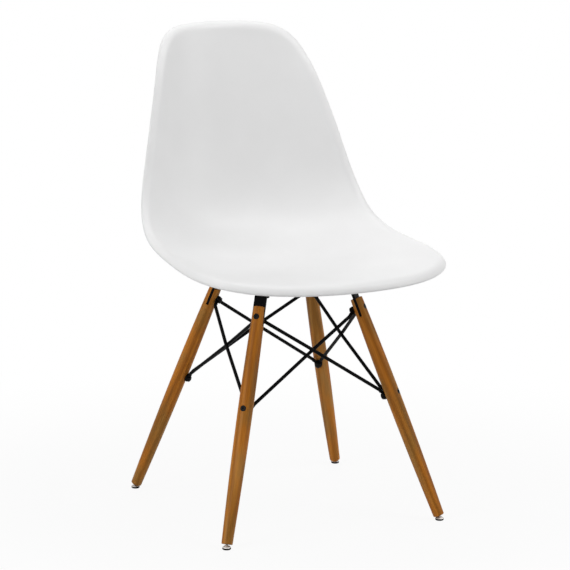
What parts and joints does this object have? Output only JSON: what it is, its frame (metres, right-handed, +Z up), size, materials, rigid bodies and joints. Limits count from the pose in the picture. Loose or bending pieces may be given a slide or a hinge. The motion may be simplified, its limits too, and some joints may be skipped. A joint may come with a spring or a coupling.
{
  "type": "shell dining chair with dowel legs",
  "caption": "Armless moulded plastic shell chair on tapered wooden dowel legs braced by crossed black steel rods.",
  "frame": {"origin": "on the floor, under the middle of the chair's width and depth", "axes": "+Z up, -Y the way the sitter faces, +X to the sitter's left"},
  "size_m": [0.4756, 0.5425, 0.8199],
  "materials": {
    "shell_plastic": "satin",
    "stained_wood": "satin lacquer",
    "black_steel": "satin powder coat",
    "black_hardware": "black oxide",
    "black_rubber": "matt",
    "brass_insert": "machined",
    "bright_steel": "zinc plated",
    "glide_plastic": "fine grain"
  },
  "bodies": {
    "chair": {"brace_front_left_to_front_right": "black_steel", "brace_front_left_to_rear_left": "black_steel", "brace_front_right_to_front_left": "black_steel", "brace_front_right_to_rear_right": "black_steel", "brace_rear_left_to_front_left": "black_steel", "brace_rear_left_to_rear_right": "black_steel", "brace_rear_right_to_front_right": "black_steel", "brace_rear_right_to_rear_left": "black_steel", "cross_arm_front_right": "black_steel", "cross_arm_rear_left": "black_steel", "cross_bar_long": "black_steel", "cross_welds": "black_steel", "glide_stud_front_left": "bright_steel", "glide_stud_front_right": "bright_steel", "glide_stud_rear_left": "bright_steel", "glide_stud_rear_right": "bright_steel", "leg_front_left": "stained_wood", "leg_front_right": "stained_wood", "leg_rear_left": "stained_wood", "leg_rear_right": "stained_wood", "lower_cap_nuts": "black_hardware", "lower_leg_bolts": "black_hardware", "lower_washers": "black_hardware", "seat_screws": "black_hardware", "seat_spacer_front_left": "black_rubber", "seat_spacer_front_right": "black_rubber", "seat_spacer_rear_left": "black_rubber", "seat_spacer_rear_right": "black_rubber", "seat_washers": "black_hardware", "shell": "shell_plastic", "threaded_inserts": "brass_insert", "upper_cap_nuts": "black_hardware", "upper_leg_bolts": "black_hardware", "upper_washers": "black_hardware"},
    "glide_front_left": {"glide_pad_front_left": "glide_plastic", "glide_cup_front_left": "bright_steel"},
    "glide_rear_left": {"glide_pad_rear_left": "glide_plastic", "glide_cup_rear_left": "bright_steel"},
    "glide_rear_right": {"glide_pad_rear_right": "glide_plastic", "glide_cup_rear_right": "bright_steel"},
    "glide_front_right": {"glide_pad_front_right": "glide_plastic", "glide_cup_front_right": "bright_steel"}
  },
  "joints": [
    {"name": "glide_tilt_front_left", "type": "hinge", "parent": "chair", "child": "glide_front_left", "pos_m": [0.19955, -0.21405, 0.005], "axis": [0.7071, 0.7071, 0], "range_deg": [-10, 10]},
    {"name": "glide_tilt_rear_left", "type": "hinge", "parent": "chair", "child": "glide_rear_left", "pos_m": [0.19955, 0.18504, 0.005], "axis": [-0.7071, 0.7071, 0], "range_deg": [-10, 10]},
    {"name": "glide_tilt_rear_right", "type": "hinge", "parent": "chair", "child": "glide_rear_right", "pos_m": [-0.19955, 0.18504, 0.005], "axis": [-0.7071, -0.7071, 0], "range_deg": [-10, 10]},
    {"name": "glide_tilt_front_right", "type": "hinge", "parent": "chair", "child": "glide_front_right", "pos_m": [-0.19955, -0.21405, 0.005], "axis": [0.7071, -0.7071, 0], "range_deg": [-10, 10]}
  ]
}
